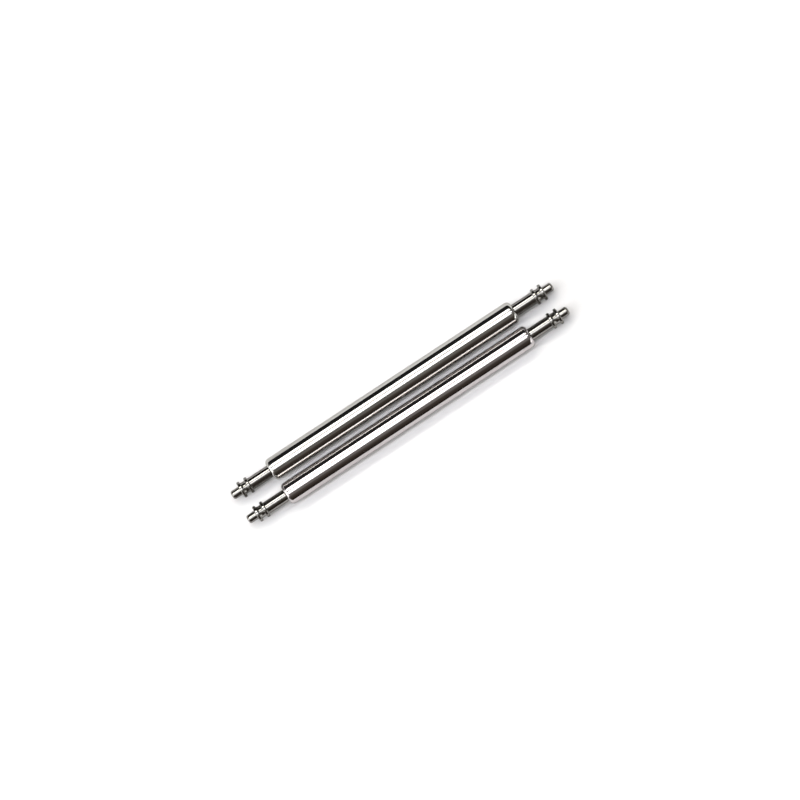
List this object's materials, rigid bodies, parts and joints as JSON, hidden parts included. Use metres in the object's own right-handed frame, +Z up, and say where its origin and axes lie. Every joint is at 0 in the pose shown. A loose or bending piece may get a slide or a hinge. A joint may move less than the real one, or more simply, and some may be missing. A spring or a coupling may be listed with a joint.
{
  "type": "pair of spring bars",
  "caption": "Slim polished steel spring bars lying side by side, each a tube with rolled-in ends and a sprung double-flange plunger at either end, for fixing a watch strap between lugs.",
  "frame": {"origin": "on the surface that the bars lie on, under the middle of the pair", "axes": "+X along the bars, +Y from the front bar to the rear bar, +Z up from the surface"},
  "size_m": [0.024, 0.0034, 0.0015],
  "materials": {
    "tube": "drawn and polished stainless steel",
    "plunger": "turned and polished stainless steel",
    "spring": "cold-drawn spring wire"
  },
  "bodies": {
    "rear_tube": {"rear_bar_tube": "tube"},
    "rear_inside": {"rear_bar_spring": "spring"},
    "rear_left_plunger": {"rear_bar_left_plunger": "plunger"},
    "rear_right_plunger": {"rear_bar_right_plunger": "plunger"},
    "front_tube": {"front_bar_tube": "tube"},
    "front_inside": {"front_bar_spring": "spring"},
    "front_left_plunger": {"front_bar_left_plunger": "plunger"},
    "front_right_plunger": {"front_bar_right_plunger": "plunger"}
  },
  "joints": [
    {"name": "rear_bar_turn", "type": "hinge", "parent": "rear_tube", "child": "rear_inside", "pos_m": [0, 0.00091, 0.00075], "axis": [1, 0, 0], "continuous": true},
    {"name": "rear_left_plunger_press", "type": "slide", "parent": "rear_inside", "child": "rear_left_plunger", "axis": [1, 0, 0], "range_m": [0, 0.00146], "stiffness_N_per_m": 280, "deforming": ["rear_bar_spring"]},
    {"name": "rear_right_plunger_press", "type": "slide", "parent": "rear_inside", "child": "rear_right_plunger", "axis": [-1, 0, 0], "range_m": [0, 0.00146], "stiffness_N_per_m": 280, "deforming": ["rear_bar_spring"]},
    {"name": "front_bar_pick_up", "type": "slide", "parent": "rear_tube", "child": "front_tube", "axis": [0, 0, 1], "range_m": [0, 0.01]},
    {"name": "front_bar_turn", "type": "hinge", "parent": "front_tube", "child": "front_inside", "pos_m": [0, -0.00091, 0.00075], "axis": [1, 0, 0], "continuous": true},
    {"name": "front_left_plunger_press", "type": "slide", "parent": "front_inside", "child": "front_left_plunger", "axis": [1, 0, 0], "range_m": [0, 0.00146], "stiffness_N_per_m": 280, "deforming": ["front_bar_spring"]},
    {"name": "front_right_plunger_press", "type": "slide", "parent": "front_inside", "child": "front_right_plunger", "axis": [-1, 0, 0], "range_m": [0, 0.00146], "stiffness_N_per_m": 280, "deforming": ["front_bar_spring"]}
  ]
}
